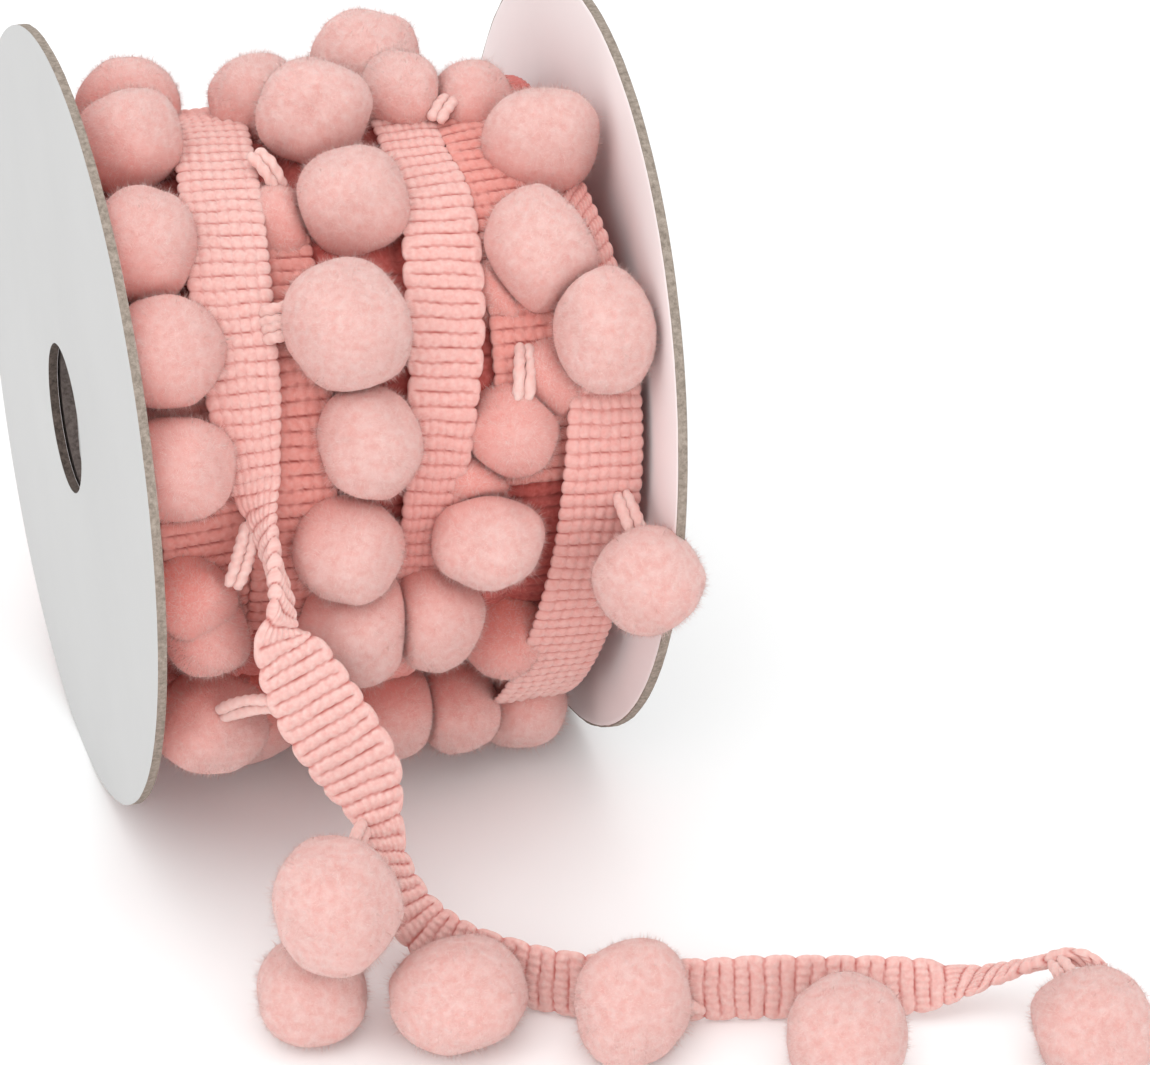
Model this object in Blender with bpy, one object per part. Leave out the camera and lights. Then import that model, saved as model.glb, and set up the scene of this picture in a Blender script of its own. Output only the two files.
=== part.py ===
# Pompom fringe trim, wound on a flanged cardboard reel, with its loose end lying in front.
# Metres, +Z up. The reel stands on the rims of its two flanges, its axis along X,
# and the loose end comes off its front, hangs down and runs along the ground to +X.

import math
from collections import namedtuple

import bmesh
import bpy
from mathutils import Euler, Vector

MM = 0.001

# The reel: two thin discs of covered board on a short tube
FLANGE_RADIUS = 45.0 * MM
FLANGE_THICKNESS = 1.1 * MM
FLANGE_GAP = 58.2 * MM
ARBOR_RADIUS = 8.7 * MM
CORE_RADIUS = 11.5 * MM
FOOT_SINK = 0.10 * MM
LEFT_LEAN = (-1.4, 3.1)
RIGHT_LEAN = (-2.8, 0.0)
FLANGE_SIDES = 72
PIECE_GAP = 0.3 * MM
WIND_GAP = 0.5 * MM

# The trim: a ribbed woven tape with soft balls on loops of yarn along one edge
DRUM_RADIUS = 32.5 * MM
DRUM_WAVE = 0.8 * MM
RIB_PITCH = 1.7 * MM
RIB_HEIGHT = 0.45 * MM
SCALLOP = 0.25 * MM
TURN_STEP = 8.0
TURN_SHOULDER = 0.6 * MM
YARN_RADIUS = 0.9 * MM
LOOP_BOW = 0.8 * MM
LOOP_ROOT = 1.0 * MM
WOUND_BALL_DETAIL = (9, 6)
LOOSE_BALL_DETAIL = (12, 8)

# Outer turns of the tape. Angles run round the axis in degrees from the front over the
# top, and go on past 360 as the tape goes deeper; the other columns are millimetres.
Turn = namedtuple("Turn", "angle along radius width")
TURN_ROWS = tuple(Turn(*row) for row in (
    (15, -15.0, 36.3, 6.0),
    (28, -15.0, 36.8, 8.0),
    (45, -14.6, 37.0, 8.8),
    (64, -13.4, 36.6, 8.8),
    (86, -11.9, 35.4, 8.4),
    (106, -11.2, 33.6, 8.8),
    (130, -10.5, 33.3, 9.0),
    (160, -9.2, 34.6, 9.2),
    (200, -7.0, 36.2, 9.4),
    (280, -2.0, 36.0, 9.2),
    (335, 2.4, 35.4, 7.0),
    (360, 4.2, 35.4, 6.4),
    (383, 6.6, 36.0, 7.6),
    (401, 8.4, 36.2, 8.6),
    (420, 9.8, 36.0, 8.0),
    (434, 9.4, 35.2, 7.0),
    (480, 11.0, 35.0, 9.0),
    (560, 15.0, 35.2, 9.4),
    (610, 16.4, 36.0, 9.4),
    (640, 17.2, 38.6, 9.6),
    (664, 18.6, 40.4, 9.8),
    (688, 20.6, 38.0, 9.8),
    (710, 22.6, 36.8, 9.4),
    (740, 24.6, 36.0, 8.0),
    (765, 26.2, 35.2, 3.8),
    (785, 25.6, 33.6, 3.0),
))

# Balls that show on the front of the winding, one row each
Ball = namedtuple("Ball", "angle along radius size stretch")
BALL_ROWS = tuple(Ball(*row) for row in (
    (102, -19.3, 35, 11.8, 0.95),
    (80, -21.4, 37, 11.2, 1.05),
    (56, -22.8, 37, 11.6, 1.08),
    (37, -22.7, 37, 11.6, 1.05),
    (18, -22.8, 37, 11.4, 1.00),
    (-7, -22.4, 35.4, 9.2, 0.92),
    (-16, -21.0, 36.6, 9.4, 0.95),
    (97, -5.1, 35, 9.5, 1.00),
    (80, -0.8, 38, 12.6, 0.92),
    (62, -7.8, 32, 9.2, 1.15),
    (61, 0.6, 36, 12.8, 0.95),
    (37, -3.3, 39.6, 13.4, 1.02),
    (18, -2.2, 37.2, 11.0, 1.15),
    (-1, -5.4, 36.8, 12.4, 0.92),
    (-18, -4.5, 37, 13.4, 1.00),
    (-57, 2.6, 39.4, 10.8, 1.05),
    (103, 8.4, 37, 12.4, 1.00),
    (88, 10.3, 36, 9.4, 1.10),
    (87, 17.7, 34, 10.2, 1.08),
    (43, 15.0, 31, 9.4, 1.10),
    (15, 14.3, 33, 10.6, 1.05),
    (5, 9.3, 32, 8.8, 1.00),
    (-2, 9.9, 37.2, 12.4, 0.84),
    (-19, 4.9, 36.8, 11.8, 1.14),
    (-37, 14.2, 34, 10.6, 1.00),
    (-58, 10.4, 39.8, 10.8, 1.05),
    (-62, 18.4, 40.8, 11.2, 1.00),
    (69, 23.1, 36, 12.6, 0.92),
    (47, 19.7, 36, 12.2, 1.15),
    (31, 24.6, 39, 11.8, 1.18),
    (24, 19.3, 32, 9.0, 1.20),
    (-6, 26.0, 45.6, 11.9, 1.00),
))

# Balls on the far side, in rows that follow the tape: where a row starts and ends round
# the axis, how many, and how far it lies from the turn of tape beside it
FarRow = namedtuple("FarRow", "first_angle last_angle count offset")
FAR_ROWS = tuple(FarRow(*row) for row in (
    (160, 290, 7, -10.8),
    (160, 282, 7, 8.4),
    (164, 272, 5, 14.6),
    (524, 634, 6, 8.8),
))
FAR_RADIUS = 36.5 * MM
FAR_RISE = 1.6 * MM
FAR_SWAY = 1.2 * MM
FAR_SIZE = 11.6 * MM
FAR_SPREAD = 0.6 * MM

# Loops of yarn that show on the winding, from an edge of the tape to a ball
Loop = namedtuple("Loop", "angle along radius end_angle end_along end_radius")
LOOP_ROWS = tuple(Loop(*row) for row in (
    (72, -8.9, 37.5, 66, -6.5, 35.0),
    (78, 12.5, 35.6, 84, 15.8, 36.0),
    (31, 16.6, 34.0, 20, 15.0, 36.0),
    (5, -17.6, 33.0, -8, -20.2, 39.5),
    (2, 25.6, 35.8, -4, 26.2, 43.0),
    (38, -12.0, 36.2, 38, -6.5, 39.5),
))

# The loose end, from the winding to its tip: the middle of the tape, the way its fringed
# edge faces (as a direction), its width and its thickness over the ribs
Tape = namedtuple("Tape", "x y z edge_x edge_y edge_z width thickness")
TAPE_ROWS = tuple(Tape(*row) for row in (
    (-15.0, -34.9, 53.7, 1.00, -0.05, 0.00, 5.8, 1.4),
    (-14.7, -36.6, 49.8, 0.70, -0.70, 0.10, 3.8, 1.9),
    (-14.2, -39.4, 45.9, 0.10, -1.00, 0.00, 3.0, 2.2),
    (-13.9, -42.0, 42.4, -0.70, -0.70, 0.10, 3.2, 2.1),
    (-14.6, -43.2, 38.6, -0.98, -0.10, 0.18, 5.4, 1.7),
    (-13.2, -43.7, 35.2, -0.99, 0.03, 0.11, 8.0, 1.5),
    (-10.6, -45.0, 29.1, -0.95, 0.04, -0.30, 9.4, 1.5),
    (-7.1, -46.8, 22.2, -0.88, 0.05, -0.47, 8.8, 1.5),
    (-5.5, -48.7, 16.6, -0.85, -0.10, -0.52, 5.0, 1.8),
    (-4.8, -50.7, 12.2, -0.60, -0.40, -0.70, 4.0, 2.0),
    (-3.1, -53.8, 7.0, -0.35, -0.45, -0.82, 5.8, 1.7),
    (0.4, -57.8, 4.5, -0.12, -0.30, -0.93, 7.2, 1.5),
    (5.4, -62.4, 4.1, 0.00, -0.25, -0.95, 7.5, 1.5),
    (11.4, -66.7, 4.1, 0.00, -0.20, -0.97, 7.5, 1.5),
    (22.0, -70.6, 4.0, 0.00, -0.15, -0.98, 7.3, 1.5),
    (31.0, -72.9, 4.1, 0.00, -0.15, -0.98, 7.5, 1.5),
    (40.0, -75.4, 4.0, 0.05, -0.20, -0.97, 7.3, 1.5),
    (47.0, -76.9, 3.8, 0.10, -0.45, -0.88, 6.4, 1.6),
    (52.0, -77.4, 3.7, 0.10, -0.80, -0.60, 4.8, 1.9),
    (56.0, -77.8, 4.2, 0.00, -1.00, 0.00, 3.4, 2.2),
    (60.0, -79.0, 5.6, 0.00, -0.70, 0.70, 3.2, 2.2),
    (63.4, -81.0, 7.2, 0.00, -0.20, 0.98, 3.0, 2.0),
    (65.6, -83.6, 6.8, 0.00, 0.10, 0.98, 2.4, 1.8),
))

# Balls of the loose end, and the place on the tape's edge where each loop leaves it,
# counted along the tape from the winding
Tail = namedtuple("Tail", "name x y z size height leave")
TAIL_ROWS = tuple(Tail(*row) for row in (
    ("beside_winding", -21.1, -32.6, 22.1, 12.4, 11.6, 20.0),
    ("upper", -14.0, -64.3, 18.0, 13.6, 15.6, 42.0),
    ("lower", -16.2, -61.6, 5.5, 12.2, 11.0, 50.0),
    ("first", -2.1, -67.4, 6.1, 14.6, 12.2, 68.0),
    ("second", 15.2, -75.0, 7.2, 12.4, 14.4, 87.0),
    ("third", 35.6, -85.2, 6.2, 13.6, 12.4, 104.0),
    ("last", 61.1, -91.2, 6.2, 13.0, 12.4, 126.0),
))


def remove_all_objects():
    for item in list(bpy.data.objects):
        bpy.data.objects.remove(item)


def make_material(name, colour, roughness):
    material = bpy.data.materials.new(name)
    material.use_nodes = True
    shader = material.node_tree.nodes["Principled BSDF"]
    shader.inputs["Base Color"].default_value = (*colour, 1.0)
    shader.inputs["Roughness"].default_value = roughness
    shader.inputs["Metallic"].default_value = 0.0
    return material


def new_object(name, bm):
    bmesh.ops.recalc_face_normals(bm, faces=bm.faces)
    mesh = bpy.data.meshes.new(name)
    bm.to_mesh(mesh)
    bm.free()
    item = bpy.data.objects.new(name, mesh)
    bpy.context.scene.collection.objects.link(item)
    return item


def combine(target, tools, operation):
    """Joins or cuts the tools into the target, keeps the result and removes the tools."""
    group = bpy.data.collections.new("tools")
    for tool in tools:
        group.objects.link(tool)
    modifier = target.modifiers.new(operation.lower(), "BOOLEAN")
    modifier.operation = operation
    modifier.operand_type = "COLLECTION"
    modifier.collection = group
    modifier.solver = "EXACT"
    graph = bpy.context.evaluated_depsgraph_get()
    mesh = bpy.data.meshes.new_from_object(target.evaluated_get(graph))
    target.modifiers.clear()
    target.data = mesh
    for tool in tools:
        bpy.data.objects.remove(tool)
    bpy.data.collections.remove(group)


def fill_hollows(item):
    """Leaves only the outer skin, so that no hollow is shut in between the turns and balls."""
    bm = bmesh.new()
    bm.from_mesh(item.data)
    unseen = set(bm.verts)
    skins = []
    while unseen:
        queue = [unseen.pop()]
        skin = list(queue)
        while queue:
            vert = queue.pop()
            for edge in vert.link_edges:
                other = edge.other_vert(vert)
                if other in unseen:
                    unseen.remove(other)
                    queue.append(other)
                    skin.append(other)
        skins.append(skin)
    skins.sort(key=len)
    for skin in skins[:-1]:
        bmesh.ops.delete(bm, geom=skin, context="VERTS")
    bm.to_mesh(item.data)
    bm.free()


def flange_turn(lean):
    """The rotation of a flange that leans by these degrees about Y and about Z."""
    return Euler((0.0, math.radians(-lean[0]), math.radians(lean[1])))


def ring_profile(bm, rows, sides):
    """Turns a closed outline of (along, radius) pairs round the X axis."""
    loops = []
    for side in range(sides):
        turn = 2.0 * math.pi * (side + 0.5) / sides
        loop = []
        for along, radius in rows:
            point = (along, -radius * math.sin(turn), -radius * math.cos(turn))
            loop.append(bm.verts.new(point))
        loops.append(loop)
    count = len(rows)
    for side in range(sides):
        here = loops[side]
        there = loops[(side + 1) % sides]
        for place in range(count):
            after = (place + 1) % count
            bm.faces.new((here[place], here[after], there[after], there[place]))


def tube_outline(first, last, inner, outer):
    return ((first, inner), (first, outer), (last, outer), (last, inner))


def make_flange(name, side, lean, material):
    inner_face = side * FLANGE_GAP / 2
    outer_face = inner_face + side * FLANGE_THICKNESS
    first, last = sorted((inner_face, outer_face))
    bm = bmesh.new()
    ring_profile(bm, tube_outline(first, last, ARBOR_RADIUS, FLANGE_RADIUS), FLANGE_SIDES)
    lean_about = Vector((inner_face, 0.0, 0.0))
    bmesh.ops.rotate(bm, cent=lean_about, matrix=flange_turn(lean).to_matrix(), verts=bm.verts)
    bmesh.ops.translate(bm, vec=(0.0, 0.0, FLANGE_RADIUS - FOOT_SINK), verts=bm.verts)
    everything = list(bm.verts) + list(bm.edges) + list(bm.faces)
    cut = bmesh.ops.bisect_plane(
        bm, geom=everything, plane_co=(0, 0, 0), plane_no=(0, 0, -1), clear_outer=True)
    rim = [part for part in cut["geom_cut"] if isinstance(part, bmesh.types.BMEdge)]
    bmesh.ops.holes_fill(bm, edges=rim, sides=0)
    flange = new_object(name, bm)
    flange.data.materials.append(material)
    return flange


def flange_cutter(side, lean, gap):
    """The space that the winding leaves to a flange: a thick disc from its inner face out."""
    inner_face = side * FLANGE_GAP / 2
    start = inner_face - side * gap
    end = inner_face + side * 20.0 * MM
    first, last = sorted((start, end))
    bm = bmesh.new()
    reach = FLANGE_RADIUS + gap
    outer = [(first, reach), (last, reach)]
    ends = []
    for along, radius in outer:
        loop = []
        for step in range(FLANGE_SIDES):
            turn = 2.0 * math.pi * (step + 0.5) / FLANGE_SIDES
            loop.append(bm.verts.new((along, radius * math.cos(turn), radius * math.sin(turn))))
        ends.append(loop)
        bm.faces.new(loop)
    for step in range(FLANGE_SIDES):
        after = (step + 1) % FLANGE_SIDES
        bm.faces.new((ends[0][step], ends[0][after], ends[1][after], ends[1][step]))
    lean_about = Vector((inner_face, 0.0, 0.0))
    bmesh.ops.rotate(bm, cent=lean_about, matrix=flange_turn(lean).to_matrix(), verts=bm.verts)
    bmesh.ops.translate(bm, vec=(0.0, 0.0, FLANGE_RADIUS - FOOT_SINK), verts=bm.verts)
    return new_object("flange_cutter", bm)


def make_core(material):
    half = FLANGE_GAP / 2 + 1.0 * MM
    bm = bmesh.new()
    ring_profile(bm, tube_outline(-half, half, ARBOR_RADIUS, CORE_RADIUS), FLANGE_SIDES // 2)
    bmesh.ops.translate(bm, vec=(0.0, 0.0, FLANGE_RADIUS - FOOT_SINK), verts=bm.verts)
    core = new_object("core_tube", bm)
    cutters = [
        flange_cutter(-1, LEFT_LEAN, PIECE_GAP),
        flange_cutter(1, RIGHT_LEAN, PIECE_GAP),
    ]
    combine(core, cutters, "DIFFERENCE")
    core.data.materials.append(material)
    return core


def blend_rows(rows, index, share):
    """A smooth curve through the rows: all columns, a share of the way past row index."""
    last = len(rows) - 1
    before = rows[max(index - 1, 0)]
    here = rows[index]
    there = rows[min(index + 1, last)]
    beyond = rows[min(index + 2, last)]
    result = []
    for p0, p1, p2, p3 in zip(before, here, there, beyond):
        bend = 2 * p0 - 5 * p1 + 4 * p2 - p3
        twist = 3 * p1 - p0 - 3 * p2 + p3
        result.append(0.5 * (2 * p1 + (p2 - p0) * share + bend * share ** 2 + twist * share ** 3))
    return result


def axis_point(angle, along, radius):
    """A point by its angle round the axis, its place along it and its distance from it."""
    turn = math.radians(angle)
    height = FLANGE_RADIUS - FOOT_SINK
    return Vector((along, -radius * math.cos(turn), height + radius * math.sin(turn)))


def turn_at(angle):
    """The wound tape at an angle: its place along the axis, its radius and its width."""
    index = 0
    while index < len(TURN_ROWS) - 2 and TURN_ROWS[index + 1].angle < angle:
        index += 1
    start = TURN_ROWS[index].angle
    end = TURN_ROWS[index + 1].angle
    turn = Turn(*blend_rows(TURN_ROWS, index, (angle - start) / (end - start)))
    return turn.along * MM, turn.radius * MM, turn.width * MM


def sweep(bm, sections):
    """Joins rings of points of the same count into one closed tube with end caps."""
    rings = [[bm.verts.new(point) for point in section] for section in sections]
    count = len(rings[0])
    for ring, after in zip(rings, rings[1:]):
        for place in range(count):
            beside = (place + 1) % count
            bm.faces.new((ring[place], ring[beside], after[beside], after[place]))
    bm.faces.new(rings[0])
    bm.faces.new(list(reversed(rings[-1])))


def make_turns():
    """The outer turns of tape as one flat-topped ridge that stands on the drum."""
    first = TURN_ROWS[0].angle
    last = TURN_ROWS[-1].angle
    count = round((last - first) / TURN_STEP)
    foot = DRUM_RADIUS - 2.5 * MM
    sections = []
    for place in range(count + 1):
        angle = first + (last - first) * place / count
        along, radius, width = turn_at(angle)
        outline = (
            (-0.45, foot),
            (-0.50, radius - TURN_SHOULDER),
            (-0.40, radius),
            (0.40, radius),
            (0.50, radius - TURN_SHOULDER),
            (0.45, foot),
        )
        sections.append([axis_point(angle, along + width * u, r) for u, r in outline])
    bm = bmesh.new()
    sweep(bm, sections)
    return new_object("turns", bm)


def make_drum():
    """The inner turns as one body round the core, with the soft waves of its layers."""
    rows = 7
    half = FLANGE_GAP / 2 + 4.0 * MM
    inner = CORE_RADIUS + PIECE_GAP
    sides = 36
    bm = bmesh.new()
    rings = []
    for side in range(sides):
        angle = 360.0 * side / sides
        ring = [bm.verts.new(axis_point(angle, -half, inner))]
        for row in range(rows + 1):
            along = -half + 2 * half * row / rows
            wave = math.sin(2 * math.pi * (along / (16 * MM)) + math.radians(3 * angle))
            ring.append(bm.verts.new(axis_point(angle, along, DRUM_RADIUS + DRUM_WAVE * wave)))
        ring.append(bm.verts.new(axis_point(angle, half, inner)))
        rings.append(ring)
    count = len(rings[0])
    for side in range(sides):
        here = rings[side]
        there = rings[(side + 1) % sides]
        for place in range(count):
            beside = (place + 1) % count
            bm.faces.new((here[place], here[beside], there[beside], there[place]))
    return new_object("drum", bm)


def add_ball(bm, centre, size, height, turn, detail):
    """A soft ball of yarn, a little taller or flatter than it is wide."""
    made = bmesh.ops.create_uvsphere(
        bm, u_segments=detail[0], v_segments=detail[1], radius=0.5)
    verts = made["verts"]
    bmesh.ops.scale(bm, vec=(size, size, height), verts=verts)
    bmesh.ops.rotate(bm, cent=(0, 0, 0), matrix=turn.to_matrix(), verts=verts)
    bmesh.ops.translate(bm, vec=centre, verts=verts)
    return verts


def wound_ball(angle, along, radius, size, stretch):
    """One ball on the winding, stretched along the way round."""
    bm = bmesh.new()
    turn = Euler((math.radians(-angle), 0.0, 0.0))
    centre = axis_point(angle, along, radius)
    add_ball(bm, centre, size, size * stretch, turn, WOUND_BALL_DETAIL)
    return new_object("ball", bm)


def make_wound_balls():
    balls = []
    for ball in BALL_ROWS:
        balls.append(wound_ball(
            ball.angle, ball.along * MM, ball.radius * MM, ball.size * MM, ball.stretch))
    for row, far in enumerate(FAR_ROWS):
        for place in range(far.count):
            share = place / (far.count - 1)
            angle = far.first_angle + (far.last_angle - far.first_angle) * share
            along = turn_at(angle)[0] + far.offset * MM + FAR_SWAY * math.sin(1.7 * place + row)
            radius = FAR_RADIUS + FAR_RISE * math.sin(2.4 * place + row)
            size = FAR_SIZE + FAR_SPREAD * math.sin(3.1 * place + 2 * row)
            balls.append(wound_ball(angle, along, radius, size, 1.0 + 0.08 * math.sin(place)))
    return balls


def yarn(bm, start, end, sag):
    """A short thick loop of yarn from start to end, bowed by the sag."""
    sections = []
    run = (end - start).normalized()
    side = run.cross(Vector((0, 0, 1)))
    if side.length < 0.2:
        side = run.cross(Vector((1, 0, 0)))
    side.normalize()
    lift = side.cross(run).normalized()
    steps = 3
    for place in range(steps + 1):
        share = place / steps
        middle = start.lerp(end, share) + sag * math.sin(math.pi * share)
        ring = []
        for corner in range(6):
            turn = 2 * math.pi * corner / 6
            ring.append(middle + YARN_RADIUS * (side * math.cos(turn) + lift * math.sin(turn)))
        sections.append(ring)
    sweep(bm, sections)


def make_wound_loops():
    loops = []
    for loop in LOOP_ROWS:
        start = axis_point(loop.angle, loop.along * MM, loop.radius * MM)
        end = axis_point(loop.end_angle, loop.end_along * MM, loop.end_radius * MM)
        out = (start + end) / 2 - axis_point(0, start.x, 0)
        sag = Vector((0, out.y, out.z)).normalized() * LOOP_BOW
        bm = bmesh.new()
        yarn(bm, start, end, sag)
        loops.append(new_object("loop", bm))
    return loops


def beside_winding_space():
    """The room that the loose end's first ball needs in the winding."""
    ball = TAIL_ROWS[0]
    bm = bmesh.new()
    size = ball.size * MM + 2 * WIND_GAP
    height = ball.height * MM + 2 * WIND_GAP
    centre = Vector((ball.x, ball.y, ball.z)) * MM
    add_ball(bm, centre, size, height, Euler(), LOOSE_BALL_DETAIL)
    return new_object("ball_space", bm)


def make_wound_trim(material):
    trim = make_drum()
    combine(trim, [make_turns()] + make_wound_balls() + make_wound_loops(), "UNION")
    cutters = [
        flange_cutter(-1, LEFT_LEAN, WIND_GAP),
        flange_cutter(1, RIGHT_LEAN, WIND_GAP),
        beside_winding_space(),
    ]
    combine(trim, cutters, "DIFFERENCE")
    fill_hollows(trim)
    trim.name = "wound_trim"
    trim.data.materials.append(material)
    return trim


def loose_tape_stations():
    """The loose tape at every half rib: middle, edge direction, width and thickness."""
    fine = 24
    places = []
    for index in range(len(TAPE_ROWS) - 1):
        for step in range(fine):
            places.append(Tape(*blend_rows(TAPE_ROWS, index, step / fine)))
    places.append(TAPE_ROWS[-1])
    stations = []
    walked = 0.0
    wanted = 0.0
    before = Vector((places[0].x, places[0].y, places[0].z)) * MM
    for place in places:
        here = Vector((place.x, place.y, place.z)) * MM
        walked += (here - before).length
        before = here
        if walked >= wanted:
            edge = Vector((place.edge_x, place.edge_y, place.edge_z)).normalized()
            stations.append((here, edge, place.width * MM, place.thickness * MM))
            wanted += RIB_PITCH / 2
    return stations


def tape_frame(stations, index):
    """The tape's own directions at a station: towards its fringed edge and out of its face."""
    ahead = stations[min(index + 1, len(stations) - 1)][0]
    behind = stations[max(index - 1, 0)][0]
    run = (ahead - behind).normalized()
    edge = stations[index][1]
    edge = (edge - run * edge.dot(run)).normalized()
    return edge, run.cross(edge)


def make_loose_tape():
    stations = loose_tape_stations()
    sections = []
    for index, (middle, edge_hint, width, thickness) in enumerate(stations):
        edge, face = tape_frame(stations, index)
        crest = index % 2
        half = width / 2 + SCALLOP * (2 * crest - 1)
        thick = thickness / 2 + RIB_HEIGHT / 2 * (crest - 0.5)
        outline = ((-1.0, 0.0), (-0.8, 1.0), (0.8, 1.0), (1.0, 0.0), (0.8, -1.0), (-0.8, -1.0))
        sections.append([middle + edge * half * u + face * thick * v for u, v in outline])
    bm = bmesh.new()
    sweep(bm, sections)
    for vert in bm.verts:
        vert.co.z = max(vert.co.z, 0.0)
    return new_object("loose_end", bm)


def make_loose_end(material):
    tape = make_loose_tape()
    stations = loose_tape_stations()
    pieces = []
    for ball in TAIL_ROWS:
        centre = Vector((ball.x, ball.y, ball.z)) * MM
        bm = bmesh.new()
        verts = add_ball(bm, centre, ball.size * MM, ball.height * MM, Euler(), LOOSE_BALL_DETAIL)
        for vert in verts:
            vert.co.z = max(vert.co.z, 0.0)
        pieces.append(new_object("ball_" + ball.name, bm))
        index = min(round(ball.leave * MM / (RIB_PITCH / 2)), len(stations) - 1)
        middle, hint, width, thickness = stations[index]
        edge, face = tape_frame(stations, index)
        start = middle + edge * (width / 2 - LOOP_ROOT)
        bm = bmesh.new()
        yarn(bm, start, start.lerp(centre, 0.75), Vector((0, 0, LOOP_BOW / 2)))
        pieces.append(new_object("loop_" + ball.name, bm))
    combine(tape, pieces, "UNION")
    fill_hollows(tape)
    tape.data.materials.append(material)
    return tape


def centre_on_ground(pieces):
    """Hangs the pieces on one empty that puts their box's bottom centre at the origin."""
    corners = [vert.co for piece in pieces for vert in piece.data.vertices]
    low = Vector([min(corner[axis] for corner in corners) for axis in range(3)])
    high = Vector([max(corner[axis] for corner in corners) for axis in range(3)])
    holder = bpy.data.objects.new("trim_on_reel", None)
    bpy.context.scene.collection.objects.link(holder)
    holder.location = (-(low.x + high.x) / 2, -(low.y + high.y) / 2, -low.z)
    for piece in pieces:
        piece.parent = holder
        piece.data.shade_smooth()
        piece.data.set_sharp_from_angle(angle=math.radians(50))


def main():
    remove_all_objects()
    paper = make_material("white_covered_board", (0.84, 0.84, 0.83), 0.55)
    kraft = make_material("grey_board", (0.45, 0.38, 0.31), 0.85)
    yarn_pink = make_material("pink_yarn", (0.86, 0.42, 0.38), 0.95)
    pieces = [
        make_flange("flange_left", -1, LEFT_LEAN, paper),
        make_flange("flange_right", 1, RIGHT_LEAN, paper),
        make_core(kraft),
        make_wound_trim(yarn_pink),
        make_loose_end(yarn_pink),
    ]
    centre_on_ground(pieces)


main()
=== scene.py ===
import math
from collections import namedtuple

import bmesh
import bpy
import numpy as np
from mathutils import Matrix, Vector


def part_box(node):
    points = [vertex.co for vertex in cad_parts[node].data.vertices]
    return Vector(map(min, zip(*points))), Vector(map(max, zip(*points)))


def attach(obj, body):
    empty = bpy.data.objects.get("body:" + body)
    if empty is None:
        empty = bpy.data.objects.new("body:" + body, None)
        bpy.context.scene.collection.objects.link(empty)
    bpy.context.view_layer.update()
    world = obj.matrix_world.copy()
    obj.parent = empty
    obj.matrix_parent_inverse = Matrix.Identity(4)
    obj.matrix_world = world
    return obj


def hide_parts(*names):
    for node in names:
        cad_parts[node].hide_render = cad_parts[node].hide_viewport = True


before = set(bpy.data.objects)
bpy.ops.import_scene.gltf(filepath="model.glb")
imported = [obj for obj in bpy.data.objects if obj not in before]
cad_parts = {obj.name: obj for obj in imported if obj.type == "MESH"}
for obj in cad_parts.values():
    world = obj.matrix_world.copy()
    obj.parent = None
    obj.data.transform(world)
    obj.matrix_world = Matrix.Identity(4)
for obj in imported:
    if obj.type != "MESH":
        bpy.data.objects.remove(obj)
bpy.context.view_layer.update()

MM = 0.001

# The reel's own frame: the middle of its core tube, and the height of its axis
CORE_LOW, CORE_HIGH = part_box("core_tube")
REEL_X = (CORE_LOW[0] + CORE_HIGH[0]) / 2
REEL_Y = (CORE_LOW[1] + CORE_HIGH[1]) / 2
AXIS_Z = (CORE_LOW[2] + CORE_HIGH[2]) / 2
REEL = np.array((REEL_X, REEL_Y, 0.0))

# Sizes of the reel, as the source has them
FLANGE_RADIUS = 45.0 * MM
FLANGE_THICKNESS = 1.1 * MM
FLANGE_GAP = 58.2 * MM
ARBOR_RADIUS = 8.7 * MM
LEFT_LEAN = (-1.4, 3.1)
RIGHT_LEAN = (-2.8, 0.0)
PAPER = 0.05 * MM
RIM_INSET = 0.25 * MM
FLANGE_SIDES = 300

# Sizes of the trim
TAPE_THICKNESS = 1.4 * MM
RIB_PITCH = 1.62 * MM
GROOVE = 0.22
# How far the ribs turn back at the edges, and the share of that where the weave is bricks
LOBE = 0.66 * MM
BRICK_LOBE = 0.62
# Swellings along a rib: how many there are across the tape, and how deep
BEAD_COLUMNS = 7.7
BEAD = 0.34
# Warp threads: their places across the tape, and their width in half tape widths
WARPS = (-0.675, -0.405, -0.135, 0.135, 0.405, 0.675)
WARP_SPREAD = 0.052
# Where the tape is narrower than this it is rolled up, and its ribs slant
NARROW = 4.8 * MM
SLANT = 1.5 * MM
YARN_RADIUS = 0.62 * MM
YARN_TWIST = 2.6 * MM
# The pompoms' fibres: length, half their width, and how many a ball has in front and behind
FIBRE = 1.15 * MM
FIBRE_HALF = 0.016 * MM
FRONT_FIBRES = 10400
FAR_FIBRES = 1500
MERGE_REACH = 3.2 * MM
LIFT = 0.05 * MM
# Where painted shade turns the yarn a deeper red: nearer to the axis, low down and behind the left
# flange
SHADE_DROP = 2.4 * MM
SHADED = 4.2 * MM
BALL_SHADE_DEPTHS = (30.5 * MM, 43.5 * MM)
TAPE_SHADE_DEPTHS = (31.0 * MM, 39.5 * MM)
WEAVE_HEIGHT = "weave_height"

# The inner layers of the winding
DRUM_RADIUS = 31.4 * MM
DRUM_HALF = 26.9 * MM
DRUM_BORE = 12.2 * MM
DRUM_TAPE = 9.6 * MM
DRUM_WAVE = 0.5 * MM

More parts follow.
